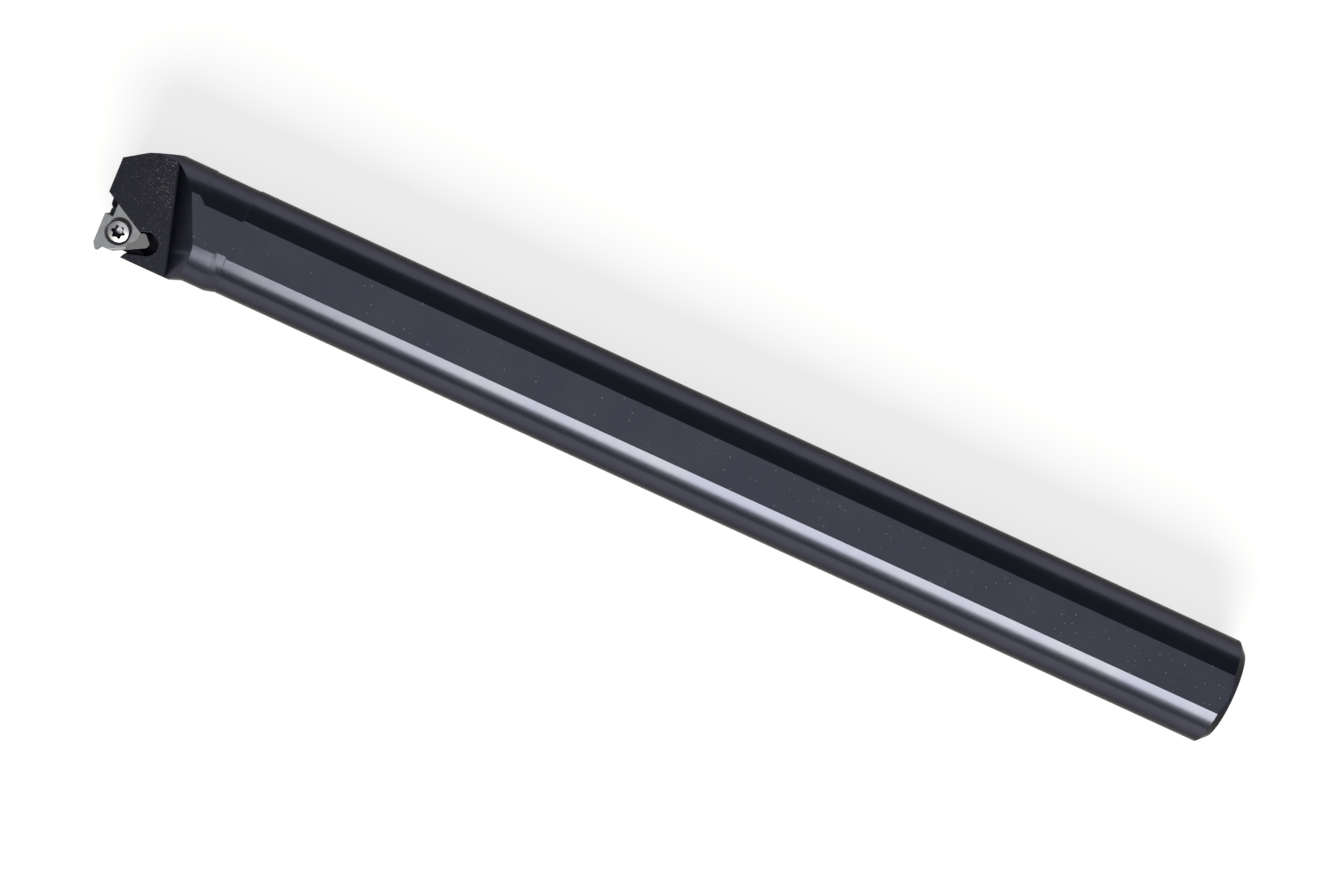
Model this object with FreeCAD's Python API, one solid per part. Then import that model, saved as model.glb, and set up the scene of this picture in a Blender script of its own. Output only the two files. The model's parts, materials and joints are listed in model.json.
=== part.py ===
import FreeCAD, Part
import math
import os

from FreeCAD import Vector

# Internal threading toolholder, in millimetres.
# The origin is the centre of the rear face, +X runs along the bar to the head,
# +Y is the cutting side and +Z is the side of the insert's top.
# "back" is a distance behind the head's front face, "out" one towards the cutting side.

# Shank
toolLength = 350.0         # rear face to the front side of the insert
shankDiameter = 32.0
flatDepth = 1.15           # cut off the round at each of the two flats
tailChamfer = 2.4

# Turned zones of the head, each round off the shank's centre line
noseLead = 1.2             # head's front face ahead of the insert's front side
headDiameter = 34.2
headBulge = 2.2            # head beyond the shank on the cutting side
headLength = 25.1
headTaper = 3.5
neckDiameter = 31.2
neckBulge = 0.85           # neck beyond the shank on the cutting side
neckLength = 10.3          # from the head's round to the neck's taper
neckTaper = 3.1
neckRelief = 0.2           # round of the neck away from the cut, under the ground shank
grindGap = 0.5             # end of the ground shank to the neck's taper

# Milled top of the head
rakeTilt = 15.0            # degrees that the insert leans to the cutting side
headRise = 0.3             # milled plane above the insert's top
runoutBack = 18.9          # foot of the run-out wall on the centre line
runoutSkew = 25.5          # degrees across the bar
runoutLean = 36.9          # degrees from upright
runoutRadius = 0.8

# Facets of the nose on the side away from the cut
noseOut = 8.1
innerFacetLength = 6.4
innerFacetAngle = 34.0
outerFacetAngle = 22.2

# Cutting point
tipReach = 19.0            # bar's centre line to the cutting point
pointReach = 7.3           # insert's hole to the cutting point, across the bar
pointInset = 1.55          # insert's front side to the middle of the point
threadAngle = 60.0
pointRadius = 0.8
shoulderDrop = 1.55        # cutting point to the shoulder behind it

# Insert
insertCircle = 10.7        # circle that touches its three sides
insertThickness = 4.0
sideRelief = 7.0           # degrees that the sides lean inwards below the top
notchWidth = 2.5
notchOut = 3.7             # notch at the front corner, ahead of the hole's centre line
rearStart = 6.35           # rounded rear corner, behind the hole: where it leaves the inner side
rearBulge = 7.45           # its widest place on that side
rearBulgeOut = -3.2
rearEnd = 9.85
rearEndOut = -0.5
rearSide = 9.15            # where it meets the outer side
rearRadius = 0.8
landDepth = 0.35           # shallow land on the rear corner
landStart = 3.85
landArcBack = 1.8          # centre of the arc that bounds the land
landArcOut = -2.2
landArcRadius = 4.3
bevelWidth = 0.9
bevelDepth = 0.4
holeDiameter = 4.6
sinkMouth = 7.6
sinkAngle = 60.0

# Shim
shimThickness = 3.0
shimPlay = 0.15            # shim's sides to the pocket's walls
shimPointCut = 0.45        # shim's edge behind the insert's shoulder
shimFrontCut = 6.4         # corner cuts, from the hole's centre
shimRearCut = 8.0
shimRadius = 0.5
shimHoleDiameter = 4.6

# Insert screw
screwDiameter = 4.0
screwHead = 6.2
screwRim = 0.25
screwDome = 0.5
screwReach = 6.0           # screw below the seat of the shim
screwPlay = 0.05           # between the screw and what it passes through or seats in
screwPoint = 0.5
socketWidth = 3.9          # six-lobe socket across its lobes
socketValley = 2.8
socketDepth = 1.9
lobeTurn = 13.0            # degrees from a lobe's middle to the end of its arc
lobeEnd = 0.45             # that end, as a share of the way from valley to lobe

# Shim screw
shimScrewBack = 5.2        # behind the insert's hole
shimScrewDiameter = 1.8
shimScrewHead = 2.9
shimScrewRecess = 0.15
shimScrewReach = 3.6       # screw below the seat of the shim
shimSocketWidth = 1.6
shimSocketValley = 1.15
shimSocketDepth = 0.6

# Pocket
drillRun = 1.5             # blind hole past the screw's end
cutterDiameter = 7.0       # milled clearance round the insert's rear corner
cutterBack = 8.8           # its first place behind the insert's hole
cutterOut = -0.45
cutterAngle = 18.7         # its path, in degrees from the bar's axis
cutterDepth = 2.4          # below the milled plane, along its path

# Front of the head beside and under the insert
ledgeBack = 0.7            # rounded ledge below the head's front corner
ledgeStart = 2.6
ledgeOut = 5.3
ledgeLean = 0.2
ledgeRadius = 1.2
waistBack = 2.65           # front of the seat, behind the insert's front side
waistOut = 6.95
underStart = 14.4          # where the seat's front turns away below the cutting point
underOut = 16.1
prongBack = 10.95          # prong beside the insert's outer side
prongLean = 0.95
prongWidth = 1.9

# Worked out from the sizes above
frontX = toolLength + noseLead
shankRadius = shankDiameter / 2
flatHeight = shankRadius - flatDepth
insertRadius = insertCircle / 2
reach = 60.0               # how far large cuts run past the part
overrun = 2.0              # how far small cuts run past the faces they open
halfCorner = math.radians(30)  # half of a corner of the insert's triangle
tilt = math.radians(rakeTilt)
holeBack = noseLead + insertRadius
holeAcross = tipReach * math.cos(tilt) - pointReach
topRise = tipReach * math.sin(tilt)
sideLean = math.tan(math.radians(sideRelief))
underInset = insertThickness * sideLean
seatDepth = insertThickness + shimThickness


def rakeFrame():
    """Frame on the insert's top: +X forward, +Y out along the top, +Z out of the top."""
    across = holeAcross * math.cos(tilt) + topRise * math.sin(tilt)
    height = topRise * math.cos(tilt) - holeAcross * math.sin(tilt)
    turn = FreeCAD.Rotation(Vector(1, 0, 0), -rakeTilt)
    return FreeCAD.Placement(Vector(frontX - holeBack, across, height), turn)


def tilted(shape):
    placed = shape.copy()
    placed.Placement = rakeFrame().multiply(placed.Placement)
    return placed


def planPoint(back, out):
    return (frontX - back, out)


def insetCorners(corners, inset):
    """Moves every side of a counter-clockwise outline inwards and finds its new corners."""
    sides = []
    for start, end in zip(corners, corners[1:] + corners[:1]):
        run = Vector(end[0] - start[0], end[1] - start[1], 0)
        run.normalize()
        normal = Vector(-run.y, run.x, 0)
        sides.append((Vector(start[0], start[1], 0) + normal * inset, run))
    moved = []
    for before, after in zip(sides[-1:] + sides[:-1], sides):
        gap = after[0] - before[0]
        cross = before[1].x * after[1].y - before[1].y * after[1].x
        along = (gap.x * after[1].y - gap.y * after[1].x) / cross
        point = before[0] + before[1] * along
        moved.append((point.x, point.y))
    return moved


def outlineWire(corners, height, radii=None):
    """Closed outline at a height, with an arc at each corner that has a radius."""
    radii = radii or {}
    count = len(corners)
    points = [Vector(x, y, height) for x, y in corners]
    entries = []
    for index, point in enumerate(points):
        radius = radii.get(index, 0)
        toBack = (points[index - 1] - point).normalize()
        toNext = (points[(index + 1) % count] - point).normalize()
        if not radius:
            entries.append((point, None, point))
            continue
        half = toBack.getAngle(toNext) / 2
        bisector = (toBack + toNext).normalize()
        trim = radius / math.tan(half)
        middle = point + bisector * (radius / math.sin(half) - radius)
        entries.append((point + toBack * trim, middle, point + toNext * trim))
    edges = []
    for index, (start, middle, end) in enumerate(entries):
        if middle:
            edges.append(Part.Arc(start, middle, end).toShape())
        edges.append(Part.makeLine(end, entries[(index + 1) % count][0]))
    return Part.Wire(edges)


def prism(corners, bottom, top, radii=None):
    face = Part.Face(outlineWire(corners, bottom, radii))
    return face.extrude(Vector(0, 0, top - bottom))


def taperedPrism(corners, bottom, top, radii=None):
    """Prism with its outline at height 0 and sides that lean as the insert's do."""
    wires = []
    for height in (bottom, top):
        level = insetCorners(corners, -height * sideLean)
        wires.append(outlineWire(level, height, radii))
    return Part.makeLoft(wires, True, True)


def disc(radius, bottom, top, x=0.0, y=0.0):
    return Part.makeCylinder(radius, top - bottom, Vector(x, y, bottom))


def halfSpace(point, normal):
    """Large block whose base lies on a plane and which fills the side of its normal."""
    block = Part.makeBox(2 * reach, 2 * reach, reach, Vector(-reach, -reach, 0))
    block.Placement = FreeCAD.Placement(point, FreeCAD.Rotation(Vector(0, 0, 1), normal))
    return block


def revolved(profile):
    """Turned piece about Z from points (radius, height), closed along the axis."""
    points = [Vector(radius, 0, height) for radius, height in profile]
    face = Part.Face(Part.makePolygon(points + points[:1]))
    return face.revolve(Vector(0, 0, 0), Vector(0, 0, 1), 360)


# Outlines of the insert, with the front to +X and the cutting side to +Y

def sideAt(radius, forward=None, out=None, side=1):
    """Point on the outer (side 1) or inner (side -1) slanting side of a triangle round a circle."""
    if out is None:
        out = side * (radius + forward * math.sin(halfCorner)) / math.cos(halfCorner)
    else:
        forward = (side * out * math.cos(halfCorner) - radius) / math.sin(halfCorner)
    return (forward, out)


def insertOutline():
    """Corners counter-clockwise from the cutting point, and the radii of the rounded ones."""
    flank = math.tan(math.radians(threadAngle / 2))
    apexOut = pointReach + pointRadius * (1 / math.sin(math.radians(threadAngle / 2)) - 1)
    shoulderOut = pointReach - shoulderDrop
    pointForward = insertRadius - pointInset
    corners = [
        (pointForward, apexOut),
        (pointForward - (apexOut - shoulderOut) * flank, shoulderOut),
        sideAt(insertRadius, out=shoulderOut),
        sideAt(insertRadius, forward=-rearSide),
        (-rearEnd, rearEndOut),
        (-rearBulge, rearBulgeOut),
        sideAt(insertRadius, forward=-rearStart, side=-1),
        sideAt(insertRadius, forward=insertRadius - notchWidth, side=-1),
        (insertRadius - notchWidth, -notchOut),
        (insertRadius, -notchOut),
        (insertRadius, apexOut - pointInset / flank),
    ]
    return corners, {0: pointRadius, 3: rearRadius, 4: rearRadius, 5: rearRadius}


def shimOutline():
    """Triangle inside the insert's lower sides, cut back at the point and at both other corners."""
    radius = insertRadius - underInset - shimPlay
    shoulder = pointReach - shoulderDrop - shimPointCut
    rearHalf = (2 * radius - shimRearCut) * math.tan(halfCorner)
    frontHalf = (2 * radius - shimFrontCut) * math.tan(halfCorner)
    away = Vector(math.sin(halfCorner), -math.cos(halfCorner), 0)
    across = Vector(math.cos(halfCorner), math.sin(halfCorner), 0) * frontHalf
    frontStart = away * shimFrontCut - across
    frontEnd = away * shimFrontCut + across
    corners = [
        (radius - pointInset, shoulder),
        sideAt(radius, out=shoulder),
        (-shimRearCut, rearHalf),
        (-shimRearCut, -rearHalf),
        (frontStart.x, frontStart.y),
        (frontEnd.x, frontEnd.y),
        (radius, shoulder - pointInset),
    ]
    return corners, {2: shimRadius, 3: shimRadius, 4: shimRadius}


# Pieces

def turnedZone(start, end, diameter, bulge, taper, drop):
    """Round zone that bulges on the cutting side, with a cone that runs down into the bar."""
    radius = diameter / 2
    offset = shankRadius + bulge - radius
    axis = Vector(1, 0, 0)
    zone = Part.makeCylinder(radius, end - start, Vector(start, offset, 0), axis)
    run = taper + overrun
    smallRadius = radius - run * drop / taper
    cone = Part.makeCone(smallRadius, radius, run, Vector(start - run, offset, 0), axis)
    return zone.fuse(cone)


def turnedBody():
    headX = frontX - headLength
    neckX = headX - neckLength
    shankX = neckX - neckTaper - grindGap
    axis = Vector(1, 0, 0)
    shank = Part.makeCylinder(shankRadius, shankX, Vector(0, 0, 0), axis)
    rearEdge = min(shank.Edges, key=lambda edge: edge.CenterOfMass.x)
    shank = shank.makeChamfer(tailChamfer, [rearEdge])
    coreRadius = shankRadius - neckRelief
    core = Part.makeCylinder(coreRadius, headX - shankX, Vector(shankX, 0, 0), axis)
    neck = turnedZone(neckX, headX, neckDiameter, neckBulge, neckTaper, neckBulge)
    head = turnedZone(headX, frontX, headDiameter, headBulge, headTaper, headBulge - neckBulge)
    return shank.fuse(core).fuse(neck).fuse(head)


def flatCuts():
    """Stock beyond the two flats, along the whole bar."""
    size = Vector(frontX + 2 * reach, 2 * reach, reach)
    corners = [Vector(-reach, -reach, flatHeight), Vector(-reach, -reach, -flatHeight - reach)]
    return [Part.makeBox(size.x, size.y, size.z, corner) for corner in corners]


def headPlaneCut():
    """Wedge above the milled plane and ahead of the run-out wall, round where they meet."""
    rise = topRise + headRise
    normal = Vector(0, math.sin(tilt), math.cos(tilt))
    above = halfSpace(normal * rise + Vector(frontX, 0, 0), normal)
    skew = math.tan(math.radians(runoutSkew))
    lean = math.tan(math.radians(runoutLean))
    foot = Vector(frontX - runoutBack, 0, rise / math.cos(tilt))
    ahead = halfSpace(foot, Vector(1, skew, lean))
    wedge = above.common(ahead)
    footEdge = min(wedge.Edges, key=lambda edge: edge.distToShape(Part.Vertex(foot))[0])
    return wedge.makeFillet(runoutRadius, [footEdge])


def noseCut():
    """Stock beyond the two facets of the nose, on the side away from the cut."""
    innerOut = noseOut + innerFacetLength * math.tan(math.radians(innerFacetAngle))
    outerOut = innerOut + reach * math.tan(math.radians(outerFacetAngle))
    leadOut = noseOut - overrun * math.tan(math.radians(innerFacetAngle))
    corners = [
        planPoint(-overrun, -leadOut),
        planPoint(innerFacetLength, -innerOut),
        planPoint(innerFacetLength + reach, -outerOut),
        planPoint(innerFacetLength + reach, -reach),
        planPoint(-overrun, -reach),
    ]
    return prism(corners, -reach, reach)


def wallCut():
    """Pocket above its seat, between walls that follow the insert's inner and outer sides."""
    corners = [
        sideAt(insertRadius, forward=reach, side=-1),
        sideAt(insertRadius, forward=reach),
        sideAt(insertRadius, out=0.0),
    ]
    upper = taperedPrism(corners, -insertThickness, headRise + overrun)
    lower = prism(insetCorners(corners, underInset), -seatDepth, -insertThickness)
    return upper.fuse(lower)


def cornerCut():
    """Round clearance at the insert's rear corner and its shallower run along the outer side."""
    radius = cutterDiameter / 2
    top = headRise + overrun
    hole = disc(radius, -seatDepth, top, -cutterBack, cutterOut)
    angle = math.radians(cutterAngle)
    path = Vector(math.cos(angle), math.sin(angle), 0) * reach
    step = Vector(-math.sin(angle), math.cos(angle), 0) * radius
    start = Vector(-cutterBack, cutterOut, 0)
    points = [start - step, start + path - step, start + path + step, start + step]
    slot = prism([(point.x, point.y) for point in points], headRise - cutterDepth, top)
    return hole.fuse(slot)


def frontCut():
    """Stock ahead of and beside the seat, so that nothing stands out under the insert."""
    ledgeEnd = planPoint(ledgeBack + ledgeLean, ledgeOut)
    corners = [
        planPoint(-overrun, ledgeStart),
        planPoint(ledgeBack, ledgeStart),
        ledgeEnd,
        planPoint(waistBack, waistOut),
        planPoint(waistBack, underStart),
        planPoint(waistBack + underOut - underStart, underOut),
        planPoint(prongBack, underOut),
        planPoint(prongBack - prongLean, underOut + prongWidth),
        planPoint(prongBack - prongLean, reach),
        planPoint(-overrun, reach),
    ]
    corners.reverse()
    return prism(corners, -reach, reach, {corners.index(ledgeEnd): ledgeRadius})


def bar():
    body = turnedBody()
    seat = wallCut().fuse(cornerCut())
    screwBore = disc(screwDiameter / 2 + screwPlay, -seatDepth - screwReach - drillRun, 0)
    shimBore = disc(
        shimScrewDiameter / 2 + screwPlay,
        -seatDepth - shimScrewReach - drillRun,
        0,
        -shimScrewBack,
    )
    tools = flatCuts() + [headPlaneCut(), noseCut(), frontCut()]
    tools += [tilted(shape) for shape in (seat, screwBore, shimBore)]
    return body.cut(tools)


def insert():
    corners, radii = insertOutline()
    body = taperedPrism(corners, -insertThickness, 0, radii)
    hole = disc(holeDiameter / 2, -insertThickness - overrun, overrun)
    half = math.tan(math.radians(sinkAngle / 2))
    mouth = sinkMouth / 2
    sink = revolved([(0, -mouth / half), (mouth + half * overrun, overrun), (0, overrun)])
    body = body.cut([hole, sink, landCut(), bevelCut()])
    return tilted(body)


def landCut():
    """Stock over the rear corner's shallow land, which ends at an arc beside the hole."""
    corner = Vector(-reach - landStart, -reach / 2, -landDepth)
    block = Part.makeBox(reach, reach, overrun, corner)
    return block.cut(disc(landArcRadius, -overrun, overrun, -landArcBack, landArcOut))


def bevelCut():
    """Stock over the bevel along the top of the outer slanting side."""
    start = Vector(*sideAt(insertRadius, out=pointReach), 0)
    end = Vector(*sideAt(insertRadius, forward=-2 * insertRadius), 0)
    run = (end - start).normalize()
    inward = Vector(-run.y, run.x, 0)
    up = Vector(0, 0, 1)
    edge = start + inward * bevelWidth
    outside = start - inward * overrun
    drop = bevelDepth * (1 + overrun / bevelWidth)
    profile = [edge, edge + up * overrun, outside + up * overrun, outside - up * drop]
    face = Part.Face(Part.makePolygon(profile + profile[:1]))
    return face.extrude(end - start)


def shim():
    corners, radii = shimOutline()
    body = prism(corners, -seatDepth, -insertThickness, radii)
    bottom = -seatDepth - overrun
    hole = disc(shimHoleDiameter / 2, bottom, overrun)
    small = disc(shimScrewDiameter / 2 + screwPlay, bottom, 0, -shimScrewBack)
    mouth = shimScrewHead / 2 + screwPlay
    sink = revolved([(0, overrun), (mouth, overrun), (mouth, 0), (0, -mouth)])
    sink.translate(Vector(-shimScrewBack, 0, -insertThickness - shimScrewRecess))
    return tilted(body.cut([hole, small, sink]))


def socket(width, valley, bottom):
    """Six-lobe recess from above the head down to its bottom: lobes and valleys are arcs."""
    meet = math.radians(lobeTurn)
    turn = math.radians(30)
    outer = width / 2
    inner = valley / 2
    between = inner + lobeEnd * (outer - inner)
    edges = []
    for lobe in range(6):
        angle = 2 * turn * lobe
        spots = [
            (between, angle - meet),
            (outer, angle),
            (between, angle + meet),
            (inner, angle + turn),
            (between, angle + 2 * turn - meet),
        ]
        points = [Vector(r * math.cos(a), r * math.sin(a), bottom) for r, a in spots]
        edges.append(Part.Arc(*points[:3]).toShape())
        edges.append(Part.Arc(*points[2:]).toShape())
    return Part.Face(Part.Wire(edges)).extrude(Vector(0, 0, overrun - bottom))


def insertScrew():
    """Sunk screw with a low domed head; it seats on the insert's countersink."""
    half = math.tan(math.radians(sinkAngle / 2))
    shankEdge = screwDiameter / 2
    headEdge = screwHead / 2
    play = screwPlay / math.cos(math.radians(sinkAngle / 2))
    rimHeight = -(sinkMouth / 2 - headEdge - play) / half
    neckHeight = rimHeight - (headEdge - shankEdge) / half
    endHeight = -seatDepth - screwReach
    topHeight = rimHeight + screwRim
    outline = [
        Vector(0, 0, endHeight),
        Vector(shankEdge - screwPoint, 0, endHeight),
        Vector(shankEdge, 0, endHeight + screwPoint),
        Vector(shankEdge, 0, neckHeight),
        Vector(headEdge, 0, rimHeight),
        Vector(headEdge, 0, topHeight),
    ]
    ball = (headEdge ** 2 + screwDome ** 2) / (2 * screwDome)
    crown = Vector(0, 0, topHeight + screwDome)
    sag = ball - math.sqrt(ball ** 2 - headEdge ** 2 / 4)
    bend = Vector(headEdge / 2, 0, crown.z - sag)
    edges = [Part.makeLine(a, b) for a, b in zip(outline, outline[1:])]
    edges.append(Part.Arc(outline[-1], bend, crown).toShape())
    edges.append(Part.makeLine(crown, outline[0]))
    body = Part.Face(Part.Wire(edges)).revolve(Vector(0, 0, 0), Vector(0, 0, 1), 360)
    recess = socket(socketWidth, socketValley, topHeight - socketDepth)
    return tilted(body.cut(recess))


def shimScrew():
    """Small 90 degree countersunk screw; its flat top lies just below the shim's top."""
    edge = shimScrewDiameter / 2
    length = seatDepth + shimScrewReach - insertThickness - shimScrewRecess
    head = shimScrewHead / 2
    body = revolved([(0, 0), (head, 0), (edge, edge - head), (edge, -length), (0, -length)])
    recess = socket(shimSocketWidth, shimSocketValley, -shimSocketDepth)
    body = body.cut(recess)
    body.translate(Vector(-shimScrewBack, 0, -insertThickness - shimScrewRecess))
    return tilted(body)


pieces = {
    "holder_bar": bar(),
    "shim": shim(),
    "shim_screw": shimScrew(),
    "threading_insert": insert(),
    "insert_screw": insertScrew(),
}

os.makedirs("parts", exist_ok=True)
for name, shape in pieces.items():
    shape.exportStep("parts/" + name + ".step")
    box = shape.BoundBox
    print(name, len(shape.Solids), shape.isValid(), round(shape.Volume, 2),
          [round(value, 2) for value in (box.XMin, box.YMin, box.ZMin, box.XMax, box.YMax, box.ZMax)])
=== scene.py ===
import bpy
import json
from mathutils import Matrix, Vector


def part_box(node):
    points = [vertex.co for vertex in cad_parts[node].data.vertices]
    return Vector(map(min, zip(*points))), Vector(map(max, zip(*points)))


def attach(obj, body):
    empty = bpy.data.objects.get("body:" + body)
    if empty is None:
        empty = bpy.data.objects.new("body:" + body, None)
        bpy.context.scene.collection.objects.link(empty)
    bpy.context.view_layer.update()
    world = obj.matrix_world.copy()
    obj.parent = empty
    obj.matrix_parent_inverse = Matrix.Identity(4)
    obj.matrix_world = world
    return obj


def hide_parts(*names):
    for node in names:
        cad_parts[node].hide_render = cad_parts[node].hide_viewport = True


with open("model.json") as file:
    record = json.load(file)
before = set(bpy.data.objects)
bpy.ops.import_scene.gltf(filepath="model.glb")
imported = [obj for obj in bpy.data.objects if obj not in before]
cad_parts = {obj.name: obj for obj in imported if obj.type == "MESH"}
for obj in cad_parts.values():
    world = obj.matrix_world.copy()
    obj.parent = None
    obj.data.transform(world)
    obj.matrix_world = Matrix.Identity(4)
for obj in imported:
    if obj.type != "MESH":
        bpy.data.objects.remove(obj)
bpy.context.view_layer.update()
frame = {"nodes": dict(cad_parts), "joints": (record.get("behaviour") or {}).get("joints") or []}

import bpy
import json
import math
from mathutils import Matrix, Vector

mm = 0.001          # the pieces' values below are in millimetres, the studio's and the camera's in metres
nodes = frame["nodes"]
insertAxis = Vector(frame["joints"][0]["axis"])      # square to the insert's top, the way the screw leaves
barLow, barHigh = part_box("holder_bar")
frontX = barHigh.x                                   # front face of the head
print("frame loaded")


# Colour and node helpers

def linearColor(hexText):
    channels = [int(hexText[start:start + 2], 16) / 255 for start in (0, 2, 4)]
    return tuple(c / 12.92 if c <= 0.04045 else ((c + 0.055) / 1.055) ** 2.4 for c in channels) + (1.0,)


# An input is given by its name or its number; a Mix of colours has them at 6 and 7, and its result at 2
def addNode(tree, kind, settings=None, inputs=None):
    node = tree.nodes.new(kind)
    for name, value in (settings or {}).items():
        setattr(node, name, value)
    for socket, value in (inputs or {}).items():
        if isinstance(value, bpy.types.NodeSocket):
            tree.links.new(value, node.inputs[socket])
        else:
            node.inputs[socket].default_value = value
    return node


def newMaterial(name, settings):
    material = bpy.data.materials.new(name)
    material.use_nodes = True
    tree = material.node_tree
    shader = tree.nodes["Principled BSDF"]
    for socket, value in settings.items():
        shader.inputs[socket].default_value = value
    return material, tree, shader


def placeInMm(tree):
    # the piece's own coordinates in millimetres, so that a pattern's scale is spots per millimetre
    coordinates = addNode(tree, "ShaderNodeTexCoord")
    scaled = addNode(tree, "ShaderNodeVectorMath", {"operation": "SCALE"},
                     {0: coordinates.outputs["Object"], "Scale": 1 / mm})
    return scaled.outputs[0], coordinates.outputs["Normal"]


# Steel bar: alloy steel, turned and milled, then blackened in hot salts and oiled.
# The eye sees a blue-black body under a thin glossy film, duller where it was milled.

bar = {
    "oxide": "414451",
    "oxideWorn": "555457",
    "oxideShaded": "2c2d37",   # painted shade on the head's dull top and on the tail's chamfer
    "edgeTint": "806a70",    # oxide reflects little more at the rim than face on
    "film": 0.24,            # oil film over the oxide
    "filmRough": 0.12,
    "shankRough": 0.26,      # ground
    "flatRough": 0.3,        # milled with a fine feed
    "neckRough": 0.3,        # turned round behind the head
    "coneRough": 0.34,       # short cones at both ends of the neck
    "coneShadeShare": 0.1,         # share of the painted shade on them
    "headRough": 0.34,       # milled top of the head
    "facingFrom": 0.999,     # cosine from which a face counts as square to a direction
    "leanFrom": -0.12,       # part of the normal along the bar below which a face leans to the tail
    "headStart": 39.0,       # the ground shank ends here, behind the front
    "headBlend": 0.2,
    "conesEnd": 24.0,        # the short cones end here, behind the front
    "cloudSize": 20.0,       # clouds of thinner oxide
    "cloudFrom": 0.45,
    "cloudTo": 0.8,
    "cloudShare": 0.35,
    "speckFlat": "8b9094",
    "speckShare": 0.48,      # share of that colour that shows
    "speckSize": 0.5,        # dust and pits, widest, drawn larger than they are so that they show
    "speckSpacing": 1.9,
    "speckFade": 160.0,      # fewer and fewer of them from the tail to here
    "bareTail": 0.6,         # share of the grid's cells without one, at the tail
    "bareHead": 0.88,        # and past the fade
    "scratchSpacing": 0.25,  # scratches along the flat
    "scratchStretch": 0.05,
    "scratchFrom": 0.66,
    "scratchTo": 0.74,
    "stainTan": "625a52",
    "stainGrey": "656a70",
    "stainSize": 0.5,        # stains on the milled head
    "stainFrom": 0.615,
    "stainTo": 0.76,
    "stainBack": 19.0,       # middle of them: behind the front, and away from the cutting side
    "stainSide": 8.0,
    "stainReach": 16.0,
    "stainDrift": 0.12,      # more of them towards that middle
    "stainDepth": 0.05,      # they are pits
    "stainStrength": 0.35,
    "edgeRound": 0.15,
}


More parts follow.
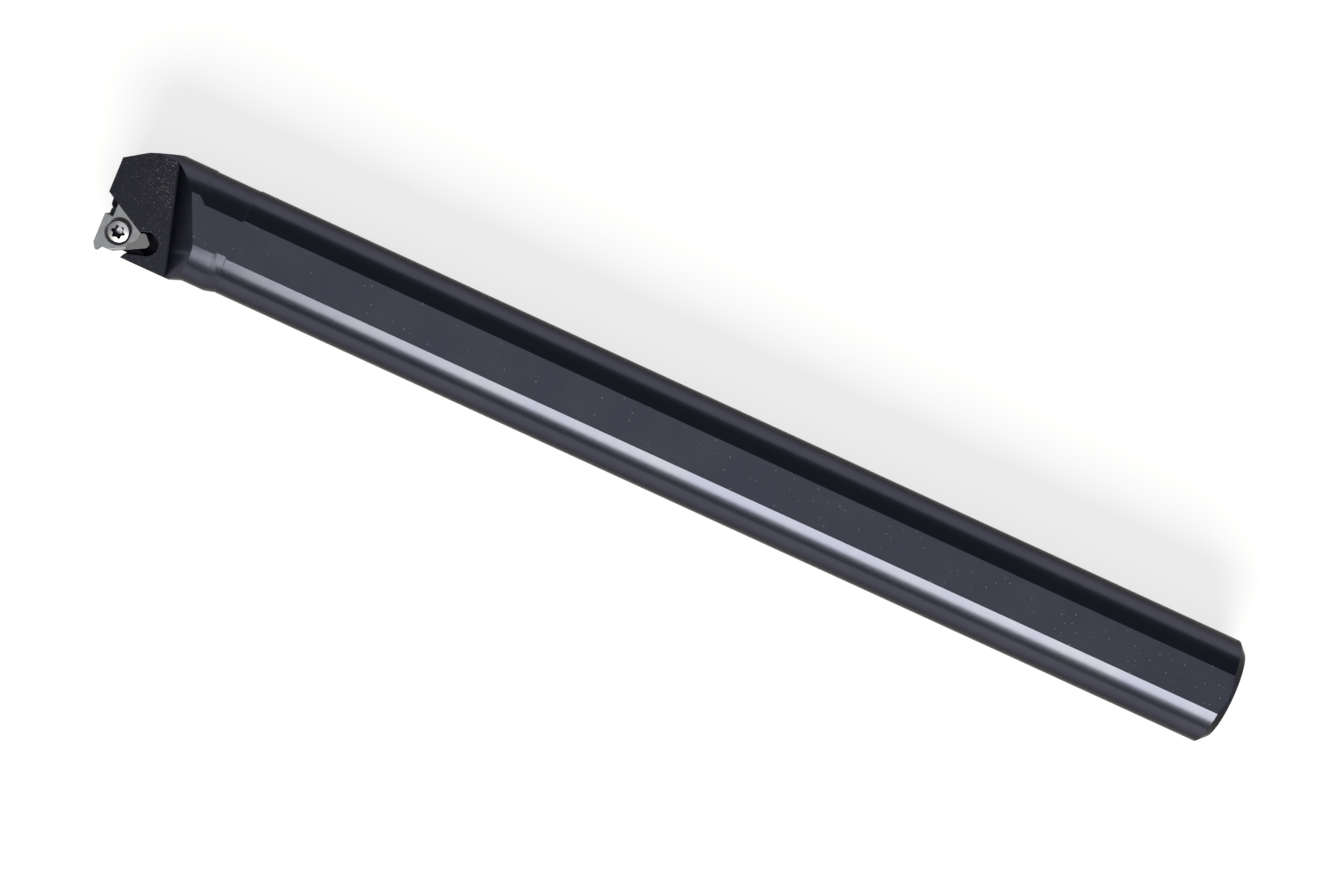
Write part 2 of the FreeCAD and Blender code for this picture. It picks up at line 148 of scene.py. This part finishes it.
def blackenedSteel():
    material, tree, shader = newMaterial("blackOxideSteelTurned", {
        "Metallic": 1.0,
        "Specular Tint": linearColor(bar["edgeTint"]),
        "Coat Weight": bar["film"],
        "Coat Roughness": bar["filmRough"],
    })
    place, facing = placeInMm(tree)
    split = addNode(tree, "ShaderNodeSeparateXYZ", None, {0: place})
    facingSplit = addNode(tree, "ShaderNodeSeparateXYZ", None, {0: facing})
    front = frontX / mm

    # where a face was milled: the two flats face straight up and down, the head's top leans
    up = addNode(tree, "ShaderNodeMath", {"operation": "ABSOLUTE"}, {0: facingSplit.outputs["Z"]})
    onFlat = addNode(tree, "ShaderNodeMath", {"operation": "GREATER_THAN"},
                     {0: up.outputs[0], 1: bar["facingFrom"]})
    lean = addNode(tree, "ShaderNodeVectorMath", {"operation": "DOT_PRODUCT"},
                   {0: facing, 1: insertAxis})
    onHead = addNode(tree, "ShaderNodeMath", {"operation": "GREATER_THAN"},
                     {0: lean.outputs["Value"], 1: bar["facingFrom"]})
    nearHead = addNode(tree, "ShaderNodeMapRange", {"interpolation_type": "SMOOTHSTEP"}, {
        "Value": split.outputs["X"],
        "From Min": front - bar["headStart"] - bar["headBlend"],
        "From Max": front - bar["headStart"] + bar["headBlend"],
    })

    # where a face leans to the tail: on the short cones, and on the tail's chamfer
    tailward = addNode(tree, "ShaderNodeMath", {"operation": "LESS_THAN"},
                       {0: facingSplit.outputs["X"], 1: bar["leanFrom"]})
    behindCones = addNode(tree, "ShaderNodeMath", {"operation": "LESS_THAN"},
                          {0: split.outputs["X"], 1: front - bar["conesEnd"]})
    onNeck = addNode(tree, "ShaderNodeMath", {"operation": "MULTIPLY"},
                     {0: nearHead.outputs[0], 1: behindCones.outputs[0]})
    onCone = addNode(tree, "ShaderNodeMath", {"operation": "MULTIPLY"},
                     {0: onNeck.outputs[0], 1: tailward.outputs[0]})
    onTail = addNode(tree, "ShaderNodeMath", {"operation": "SUBTRACT", "use_clamp": True},
                     {0: tailward.outputs[0], 1: nearHead.outputs[0]})
    # painted shade: the head's top, the tail's chamfer and the short cones take a darker tone
    shadedEnds = addNode(tree, "ShaderNodeMath", {"operation": "MAXIMUM"},
                       {0: onHead.outputs[0], 1: onTail.outputs[0]})
    shadeMask = addNode(tree, "ShaderNodeMath", {"operation": "MULTIPLY_ADD", "use_clamp": True},
                   {0: onCone.outputs[0], 1: bar["coneShadeShare"], 2: shadedEnds.outputs[0]})

    # dust and small pits on the flats: a round spot in some cells of a grid
    cells = addNode(tree, "ShaderNodeTexVoronoi", {"feature": "F1", "voronoi_dimensions": "2D"},
                    {"Vector": place, "Scale": 1 / bar["speckSpacing"]})
    chosen = addNode(tree, "ShaderNodeSeparateColor", None, {0: cells.outputs["Color"]})
    bareShare = addNode(tree, "ShaderNodeMapRange", None, {
        "Value": split.outputs["X"],
        "From Max": bar["speckFade"],
        "To Min": bar["bareTail"],
        "To Max": bar["bareHead"],
    })
    reach = addNode(tree, "ShaderNodeMapRange", None, {
        "Value": chosen.outputs[0],
        "From Min": bareShare.outputs[0],
        "To Max": bar["speckSize"] / 2 / bar["speckSpacing"],
    })
    speck = addNode(tree, "ShaderNodeMath", {"operation": "LESS_THAN"},
                    {0: cells.outputs["Distance"], 1: reach.outputs[0]})

    # stains on the milled head, most of them behind the insert on the side away from it
    centre = Vector((front - bar["stainBack"], -bar["stainSide"], barHigh.z / mm))
    off = addNode(tree, "ShaderNodeVectorMath", {"operation": "DISTANCE"}, {0: place, 1: centre})
    drift = addNode(tree, "ShaderNodeMapRange", None,
                    {"Value": off.outputs["Value"], "From Min": bar["stainReach"], "From Max": 0.0})
    spots = addNode(tree, "ShaderNodeTexNoise", None,
                    {"Vector": place, "Scale": 1 / bar["stainSize"], "Detail": 3.0, "Roughness": 0.6})
    spotLevel = addNode(tree, "ShaderNodeMath", {"operation": "MULTIPLY_ADD"},
                        {0: drift.outputs[0], 1: bar["stainDrift"], 2: spots.outputs["Fac"]})
    stain = addNode(tree, "ShaderNodeMapRange", None, {
        "Value": spotLevel.outputs[0],
        "From Min": bar["stainFrom"],
        "From Max": bar["stainTo"],
    })
    headStain = addNode(tree, "ShaderNodeMath", {"operation": "MULTIPLY"},
                        {0: stain.outputs[0], 1: onHead.outputs[0]})

    # fine scratches along the flat
    stretch = addNode(tree, "ShaderNodeVectorMath", {"operation": "MULTIPLY"},
                      {0: place, 1: (bar["scratchStretch"], 1.0, 1.0)})
    hairs = addNode(tree, "ShaderNodeTexNoise", None, {
        "Vector": stretch.outputs[0],
        "Scale": 1 / bar["scratchSpacing"],
        "Detail": 4.0,
        "Roughness": 0.7,
    })
    scratch = addNode(tree, "ShaderNodeMapRange", None, {
        "Value": hairs.outputs["Fac"],
        "From Min": bar["scratchFrom"],
        "From Max": bar["scratchTo"],
    })

    # colour: oxide, a little browner where it is thin, painted darker as shade on the head's top, the
    # tail's chamfer and the short cones, with specks and stains on top
    cloud = addNode(tree, "ShaderNodeTexNoise", None,
                    {"Vector": place, "Scale": 1 / bar["cloudSize"], "Detail": 5.0, "Roughness": 0.65})
    thin = addNode(tree, "ShaderNodeMapRange", None, {
        "Value": cloud.outputs["Fac"],
        "From Min": bar["cloudFrom"],
        "From Max": bar["cloudTo"],
        "To Max": bar["cloudShare"],
    })
    body = addNode(tree, "ShaderNodeMix", {"data_type": "RGBA"}, {
        "Factor": thin.outputs[0],
        6: linearColor(bar["oxide"]),
        7: linearColor(bar["oxideWorn"]),
    })
    shadedBody = addNode(tree, "ShaderNodeMix", {"data_type": "RGBA"}, {
        "Factor": shadeMask.outputs[0],
        6: body.outputs[2],
        7: linearColor(bar["oxideShaded"]),
    })
    stainTone = addNode(tree, "ShaderNodeMix", {"data_type": "RGBA"}, {
        "Factor": chosen.outputs[1],
        6: linearColor(bar["stainTan"]),
        7: linearColor(bar["stainGrey"]),
    })
    stained = addNode(tree, "ShaderNodeMix", {"data_type": "RGBA"},
                      {"Factor": headStain.outputs[0], 6: shadedBody.outputs[2], 7: stainTone.outputs[2]})
    flatSpeck = addNode(tree, "ShaderNodeMath", {"operation": "MAXIMUM"},
                        {0: speck.outputs[0], 1: scratch.outputs[0]})
    flatMark = addNode(tree, "ShaderNodeMath", {"operation": "MULTIPLY"},
                       {0: flatSpeck.outputs[0], 1: onFlat.outputs[0]})
    faint = addNode(tree, "ShaderNodeMath", {"operation": "MULTIPLY"},
                    {0: flatMark.outputs[0], 1: bar["speckShare"]})
    marked = addNode(tree, "ShaderNodeMix", {"data_type": "RGBA"}, {
        "Factor": faint.outputs[0],
        6: stained.outputs[2],
        7: linearColor(bar["speckFlat"]),
    })
    tree.links.new(marked.outputs[2], shader.inputs["Base Color"])

    # roughness: ground shank, milled flats, dull head
    milled = addNode(tree, "ShaderNodeMix", None,
                     {"Factor": onFlat.outputs[0], "A": bar["shankRough"], "B": bar["flatRough"]})
    byHead = addNode(tree, "ShaderNodeMix", None,
                     {"Factor": nearHead.outputs[0], "A": milled.outputs[0], "B": bar["neckRough"]})
    byCone = addNode(tree, "ShaderNodeMix", None,
                     {"Factor": onCone.outputs[0], "A": byHead.outputs[0], "B": bar["coneRough"]})
    byTop = addNode(tree, "ShaderNodeMix", None,
                    {"Factor": onHead.outputs[0], "A": byCone.outputs[0], "B": bar["headRough"]})
    tree.links.new(byTop.outputs[0], shader.inputs["Roughness"])

    # the short cones are shaded like the round beside them, so that only their rims catch the eye
    along = addNode(tree, "ShaderNodeMath", {"operation": "SUBTRACT"}, {0: 1.0, 1: onCone.outputs[0]})
    share = addNode(tree, "ShaderNodeCombineXYZ", None, {"X": along.outputs[0], "Y": 1.0, "Z": 1.0})
    square = addNode(tree, "ShaderNodeVectorMath", {"operation": "MULTIPLY"},
                     {0: facing, 1: share.outputs[0]})
    turned = addNode(tree, "ShaderNodeVectorTransform", {
        "vector_type": "NORMAL",
        "convert_from": "OBJECT",
        "convert_to": "WORLD",
    }, {0: square.outputs[0]})

    # edges catch the light on a small round; stains are pits
    edge = addNode(tree, "ShaderNodeBevel", {"samples": 8},
                   {"Radius": bar["edgeRound"] * mm, "Normal": turned.outputs[0]})
    pits = addNode(tree, "ShaderNodeBump", {"invert": True}, {
        "Strength": bar["stainStrength"],
        "Distance": bar["stainDepth"] * mm,
        "Height": headStain.outputs[0],
        "Normal": edge.outputs[0],
    })
    tree.links.new(pits.outputs[0], shader.inputs["Normal"])
    tree.links.new(edge.outputs[0], shader.inputs["Coat Normal"])
    return material


nodes["holder_bar"].data.materials.clear()
nodes["holder_bar"].data.materials.append(blackenedSteel())
print("bar finished")


# Insert and shim: cemented carbide, uncoated, the insert ground all round and the shim left as sintered.
# The eye sees an even satin grey with very fine grinding lines; off the top the colour is painted darker
# as shade.

carbide = {
    "grindSpacing": 0.12,   # grinding lines, drawn coarser than they are so that they show
    "grindStretch": 0.06,
    "grindLow": 0.3,
    "grindHigh": 0.7,
    "grindStrength": 0.15,
    "grindDepth": 0.01,
    "roughSpread": 0.05,
    "cloudPerMm": 0.6,      # spots of the duller tone
    "sideShadeStart": 0.02,      # from the top down to where the painted shade of the sides starts, and to where it is full
    "sideShadeFull": 0.3,
    "edgeRound": 0.09,
    "shadeColor": "1d1b1c",        # painted shadow of the screw's head, beside the screw on the side away from the cut
    "shadowShare": 0.96,
    "shadowInner": 3.25,       # full within this radius of the spot, none beyond the outer one
    "shadowOuter": 3.75,
    "shadowSpot": (344.25, 10.81, 2.19),
}
insert = {
    "top": "8e9199",
    "topDull": "767980",
    # painted shade of the sides, darker than the top
    "side": "6c6d72",
    "topHeight": 4.917,     # over the bar's centre line, square to the insert's top
    "rough": 0.55,
}
shim = {
    "top": "5f6064",
    "topDull": "505155",
    # painted shade of the sides, darker than the top
    "side": "505155",
    "topHeight": 0.0,       # below this it takes the side's painted shade
    "rough": 0.5,
}


def groundCarbide(name, look):
    material, tree, shader = newMaterial(name, {"Metallic": 1.0})
    place = placeInMm(tree)[0]
    stretch = addNode(tree, "ShaderNodeVectorMath", {"operation": "MULTIPLY"},
                      {0: place, 1: (1.0, carbide["grindStretch"], carbide["grindStretch"])})
    lines = addNode(tree, "ShaderNodeTexNoise", None, {
        "Vector": stretch.outputs[0],
        "Scale": 1 / carbide["grindSpacing"],
        "Detail": 2.0,
    })
    cloud = addNode(tree, "ShaderNodeTexNoise", None,
                    {"Vector": place, "Scale": carbide["cloudPerMm"], "Detail": 4.0})
    tint = addNode(tree, "ShaderNodeMix", {"data_type": "RGBA"}, {
        "Factor": cloud.outputs["Fac"],
        6: linearColor(look["top"]),
        7: linearColor(look["topDull"]),
    })
    height = addNode(tree, "ShaderNodeVectorMath", {"operation": "DOT_PRODUCT"},
                     {0: place, 1: insertAxis})
    # painted shade: below the top the sides take a darker tone
    sideShade = addNode(tree, "ShaderNodeMapRange", None, {
        "Value": height.outputs["Value"],
        "From Min": look["topHeight"] - carbide["sideShadeStart"],
        "From Max": look["topHeight"] - carbide["sideShadeFull"],
    })
    withSideShade = addNode(tree, "ShaderNodeMix", {"data_type": "RGBA"},
                       {"Factor": sideShade.outputs[0], 6: tint.outputs[2], 7: linearColor(look["side"])})
    # painted shadow of the screw's head on the insert's top
    fromScrew = addNode(tree, "ShaderNodeVectorMath", {"operation": "DISTANCE"},
                        {0: place, 1: carbide["shadowSpot"]})
    screwShadow = addNode(tree, "ShaderNodeMapRange", {"interpolation_type": "SMOOTHSTEP"}, {
        "Value": fromScrew.outputs["Value"],
        "From Min": carbide["shadowOuter"],
        "From Max": carbide["shadowInner"],
        "To Max": carbide["shadowShare"],
    })
    shadowed = addNode(tree, "ShaderNodeMix", {"data_type": "RGBA"},
                    {"Factor": screwShadow.outputs[0], 6: withSideShade.outputs[2], 7: linearColor(carbide["shadeColor"])})
    tree.links.new(shadowed.outputs[2], shader.inputs["Base Color"])
    roughness = addNode(tree, "ShaderNodeMapRange", None, {
        "Value": lines.outputs["Fac"],
        "From Min": carbide["grindLow"],
        "From Max": carbide["grindHigh"],
        "To Min": look["rough"] - carbide["roughSpread"],
        "To Max": look["rough"] + carbide["roughSpread"],
    })
    tree.links.new(roughness.outputs[0], shader.inputs["Roughness"])
    edge = addNode(tree, "ShaderNodeBevel", {"samples": 8}, {"Radius": carbide["edgeRound"] * mm})
    bump = addNode(tree, "ShaderNodeBump", None, {
        "Strength": carbide["grindStrength"],
        "Distance": carbide["grindDepth"] * mm,
        "Height": lines.outputs["Fac"],
        "Normal": edge.outputs[0],
    })
    tree.links.new(bump.outputs[0], shader.inputs["Normal"])
    return material


for nodeName, materialName, look in (("threading_insert", "tungstenCarbideGround", insert),
                                     ("shim", "tungstenCarbideSintered", shim)):
    nodes[nodeName].data.materials.clear()
    nodes[nodeName].data.materials.append(groundCarbide(materialName, look))
print("insert and shim finished")


# Screws: the insert's is zinc-plated steel with a rolled thread, the shim's is blackened.
# The eye sees a bright, slightly cloudy plate; the six-lobe socket is painted dark as shade.

screw = {
    "plate": "dfe1e6",
    "plateDull": "c3c6cd",
    "rough": 0.4,
    # painted shade for the socket's walls and floor
    "shadeColor": "33343b",
    "shadeRough": 0.3,
    "grain": 0.25,                     # spots of duller plate
    "roughDown": 0.04,
    "roughUp": 0.08,
    "spot": (344.65, 11.949, 1.889),   # middle of the insert's top; the heights below are off it
    "shank": 2.0,
    "pitch": 0.7,
    "threadDepth": 0.43,
    "crest": 0.075,                    # half the flat crest, and a flank, as shares of the pitch
    "flank": 0.3,
    "end": -13.0,
    "point": 0.5,                      # chamfer of the tip
    "neck": -3.018,                    # foot of the head's cone
    "runout": 0.7,
    "head": 3.1,
    "rimLow": -1.112,
    "rimHigh": -0.862,
    "domeRise": 0.5,
    "domeRings": (0.97, 0.8, 0.6, 0.4, 0.2, 0.0),
    "mouth": 0.12,                     # chamfer of the socket
    "socketDepth": 1.9,
    "lobes": 6,
    "lobe": 2.08,
    "valley": 1.46,
    "lobeNarrow": 1.5,                 # above 1 the lobes are narrower than the bulges between them
    "floorShare": 0.6,
    "columns": 72,
    "rowsPerPitch": 20,
    "sharpAngle": 30.0,
}
shimScrew = {"black": "2c2d31", "rough": 0.35}


def screwSteel(name, tone, dull, rough):
    material, tree, shader = newMaterial(name, {"Metallic": 1.0})
    place = placeInMm(tree)[0]
    cloud = addNode(tree, "ShaderNodeTexNoise", None,
                    {"Vector": place, "Scale": 1 / screw["grain"], "Detail": 3.0})
    tint = addNode(tree, "ShaderNodeMix", {"data_type": "RGBA"},
                   {"Factor": cloud.outputs["Fac"], 6: linearColor(tone), 7: linearColor(dull)})
    tree.links.new(tint.outputs[2], shader.inputs["Base Color"])
    roughness = addNode(tree, "ShaderNodeMapRange", None, {
        "Value": cloud.outputs["Fac"],
        "To Min": rough - screw["roughDown"],
        "To Max": rough + screw["roughUp"],
    })
    tree.links.new(roughness.outputs[0], shader.inputs["Roughness"])
    return material


# Outside of the threaded shank: flat crests, slanting flanks and flat roots, with a chamfer at the tip
# and a run-out under the head
def threadRadius(height, angle):
    turn = (height / screw["pitch"] - angle / (2 * math.pi)) % 1.0
    offCrest = abs(turn - 0.5)
    ridge = min(1.0, max(0.0, 1.0 + (screw["crest"] - offCrest) / screw["flank"]))
    fade = min(1.0, (screw["neck"] - height) / screw["runout"])
    chamfered = screw["shank"] - max(0.0, screw["point"] - (height - screw["end"]))
    root = screw["shank"] - screw["threadDepth"]
    return min(chamfered, root + screw["threadDepth"] * max(ridge, 1.0 - fade))


def domeHeight(radius):
    ball = (screw["head"] ** 2 + screw["domeRise"] ** 2) / (2 * screw["domeRise"])
    top = screw["rimHigh"] + screw["domeRise"]
    return top - ball + math.sqrt(ball ** 2 - radius ** 2)


def socketRadius(angle):
    swing = ((1 + math.cos(screw["lobes"] * angle)) / 2) ** screw["lobeNarrow"]
    return screw["valley"] + (screw["lobe"] - screw["valley"]) * swing


# Rings from the tip up round the head and down into the socket, each a (radius, height) per angle
def screwRings(angles):
    rings = []
    count = round((screw["neck"] - screw["end"]) / screw["pitch"] * screw["rowsPerPitch"])
    for step in range(count + 1):
        height = screw["end"] + (screw["neck"] - screw["end"]) * step / count
        rings.append([(threadRadius(height, a), height) for a in angles])
    rings.append([(screw["head"], screw["rimLow"])] * len(angles))
    rings.append([(screw["head"], screw["rimHigh"])] * len(angles))
    inner = [socketRadius(a) + screw["mouth"] for a in angles]
    for share in screw["domeRings"]:
        radii = [r + share * (screw["head"] - r) for r in inner]
        rings.append([(r, domeHeight(r)) for r in radii])
    wallRing = len(rings)
    floor = screw["rimHigh"] - screw["socketDepth"]
    wall = [socketRadius(a) for a in angles]
    rings.append([(r, domeHeight(r) - screw["mouth"]) for r in wall])
    rings.append([(r, (domeHeight(r) + floor) / 2) for r in wall])
    rings.append([(r, floor) for r in wall])
    rings.append([(screw["floorShare"] * screw["valley"], floor)] * len(angles))
    return rings, wallRing, floor


def insertScrew():
    count = screw["columns"]
    angles = [2 * math.pi * column / count for column in range(count)]
    rings, wallRing, floor = screwRings(angles)
    spot = Vector(screw["spot"])
    forward = Vector((1, 0, 0))
    out = insertAxis.cross(forward)

    def placed(radius, angle, height):
        flat = forward * math.cos(angle) + out * math.sin(angle)
        return (spot + flat * radius + insertAxis * height) * mm

    points = [placed(r, a, h) for ring in rings for a, (r, h) in zip(angles, ring)]
    points += [placed(0, 0, screw["end"]), placed(0, 0, floor)]
    faces = []
    for row in range(len(rings) - 1):
        for column in range(count):
            following = (column + 1) % count
            low, high = row * count, (row + 1) * count
            faces.append((low + column, low + following, high + following, high + column))
    last = (len(rings) - 1) * count
    for column in range(count):
        following = (column + 1) % count
        faces.append((following, column, len(points) - 2))
        faces.append((last + column, last + following, len(points) - 1))
    mesh = bpy.data.meshes.new("insertScrewThreaded")
    mesh.from_pydata(points, [], faces)
    mesh.materials.append(screwSteel("zincPlatedSteelRolled", screw["plate"],
                                     screw["plateDull"], screw["rough"]))
    mesh.materials.append(screwSteel("zincPlatedSteelShadedSocket", screw["shadeColor"],
                                     screw["shadeColor"], screw["shadeRough"]))
    for index, polygon in enumerate(mesh.polygons):
        polygon.use_smooth = True
        polygon.material_index = 1 if wallRing * count <= index < last else 0    # painted shade inside the socket
    piece = bpy.data.objects.new("insert_screw_threaded", mesh)
    bpy.context.scene.collection.objects.link(piece)
    mesh.set_sharp_from_angle(angle=math.radians(screw["sharpAngle"]))
    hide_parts("insert_screw")
    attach(piece, "screw")


insertScrew()
nodes["shim_screw"].data.materials.clear()
nodes["shim_screw"].data.materials.append(
    screwSteel("blackOxideSteelRolled", shimScrew["black"], shimScrew["black"], shimScrew["rough"]))
print("screws finished")


# Studio: a pale floor that reads white, a broad lamp overhead and a long one on the cutting side

studio = {
    "floorSize": 12.0,
    "floorColor": "a6a6a8",
    "floorLift": 0.74,       # white added for the camera and for reflections
    "worldColor": "8f949c",
    "worldStrength": 0.45,
    "topRadiance": 0.72,
    "topSize": 2.0,
    "topHeight": 2.4,
    "stripRadiance": 11.0,
    "stripColor": "fffaec",
    "stripDistance": 2.0,
    "stripAngle": 53.5,      # from straight up, towards the cutting side
    "stripWidth": 0.9,
    "stripLength": 1.8,
    "stripShift": -0.58,     # towards the tail, so that its light fades out at the head
}
barCentre = Vector(((barLow.x + barHigh.x) / 2, 0, 0))


def areaLamp(name, place, aim, size, sizeAcross, radiance):
    data = bpy.data.lights.new(name, "AREA")
    data.shape = "RECTANGLE"
    data.size = size
    data.size_y = sizeAcross
    data.energy = radiance * math.pi * size * sizeAcross
    lamp = bpy.data.objects.new(name, data)
    back = (place - aim).normalized()
    side = Vector((1, 0, 0))
    across = back.cross(side).normalized()
    lamp.matrix_world = Matrix((side, across, back)).transposed().to_4x4()
    lamp.location = place
    lamp.visible_camera = False
    bpy.context.scene.collection.objects.link(lamp)
    return lamp


def makeStudio():
    size = studio["floorSize"] / 2
    low = barLow.z
    mesh = bpy.data.meshes.new("paleFloor")
    corners = [(-size, -size, low), (size, -size, low), (size, size, low), (-size, size, low)]
    mesh.from_pydata(corners, [], [(0, 1, 2, 3)])
    floor = bpy.data.objects.new("pale_floor", mesh)
    bpy.context.scene.collection.objects.link(floor)
    material = bpy.data.materials.new("paperPaleMatt")
    material.use_nodes = True
    tree = material.node_tree
    tree.nodes.clear()
    path = addNode(tree, "ShaderNodeLightPath")
    seen = addNode(tree, "ShaderNodeMath", {"operation": "MAXIMUM"},
                   {0: path.outputs["Is Camera Ray"], 1: path.outputs["Is Glossy Ray"]})
    shown = addNode(tree, "ShaderNodeMath", {"operation": "MAXIMUM"},
                    {0: seen.outputs[0], 1: path.outputs["Is Transmission Ray"]})
    lift = addNode(tree, "ShaderNodeMath", {"operation": "MULTIPLY"},
                   {0: shown.outputs[0], 1: studio["floorLift"]})
    paper = addNode(tree, "ShaderNodeBsdfDiffuse", None, {"Color": linearColor(studio["floorColor"])})
    glow = addNode(tree, "ShaderNodeEmission", None, {"Strength": lift.outputs[0]})
    both = addNode(tree, "ShaderNodeAddShader", None, {0: paper.outputs[0], 1: glow.outputs[0]})
    addNode(tree, "ShaderNodeOutputMaterial", None, {"Surface": both.outputs[0]})
    mesh.materials.append(material)

    world = bpy.data.worlds.new("studioRoom")
    bpy.context.scene.world = world
    world.use_nodes = True
    background = world.node_tree.nodes["Background"]
    background.inputs["Color"].default_value = linearColor(studio["worldColor"])
    background.inputs["Strength"].default_value = studio["worldStrength"]

    areaLamp("lampTop", barCentre + Vector((0, 0, studio["topHeight"])), barCentre,
             studio["topSize"], studio["topSize"], studio["topRadiance"])
    angle = math.radians(studio["stripAngle"])
    out = Vector((0, math.sin(angle), math.cos(angle))) * studio["stripDistance"]
    shift = Vector((studio["stripShift"], 0, 0))
    strip = areaLamp("lampStrip", barCentre + shift + out, barCentre + shift,
                     studio["stripLength"], studio["stripWidth"], studio["stripRadiance"])
    strip.data.color = linearColor(studio["stripColor"])[:3]


makeStudio()
print("studio finished")


# Camera: above the bar, which runs down to the right in the picture

view = {
    "distance": 0.95,
    "towardsHead": 2.2,      # degrees that the camera stands off the upright, on the head's side
    "barSlope": 24.65,       # degrees that the bar falls to the right in the picture
    "acrossFrame": 0.3852,   # metres that the picture's width covers
    "centreX": 0.1759,       # point of the bar's axis plane in the middle of the picture
    "centreY": 0.0018,
    "sensor": 36.0,
}


def makeCamera():
    data = bpy.data.cameras.new("cameraAbove")
    data.sensor_width = view["sensor"]
    data.lens = view["sensor"] * view["distance"] / view["acrossFrame"]
    camera = bpy.data.objects.new("cameraAbove", data)
    tilt = math.radians(view["towardsHead"])
    slope = math.radians(view["barSlope"])
    back = Vector((math.sin(tilt), 0, math.cos(tilt)))
    down = Vector((-math.cos(tilt), 0, math.sin(tilt)))     # head to tail, square to the view
    away = back.cross(down)                                 # off the cutting side
    right = down * math.cos(slope) + away * math.sin(slope)
    up = back.cross(right)
    camera.matrix_world = Matrix((right, up, back)).transposed().to_4x4()
    camera.location = Vector((view["centreX"], view["centreY"], 0)) + back * view["distance"]
    bpy.context.scene.collection.objects.link(camera)
    bpy.context.scene.camera = camera


makeCamera()
bpy.context.scene.view_settings.view_transform = "Standard"
print("camera finished")
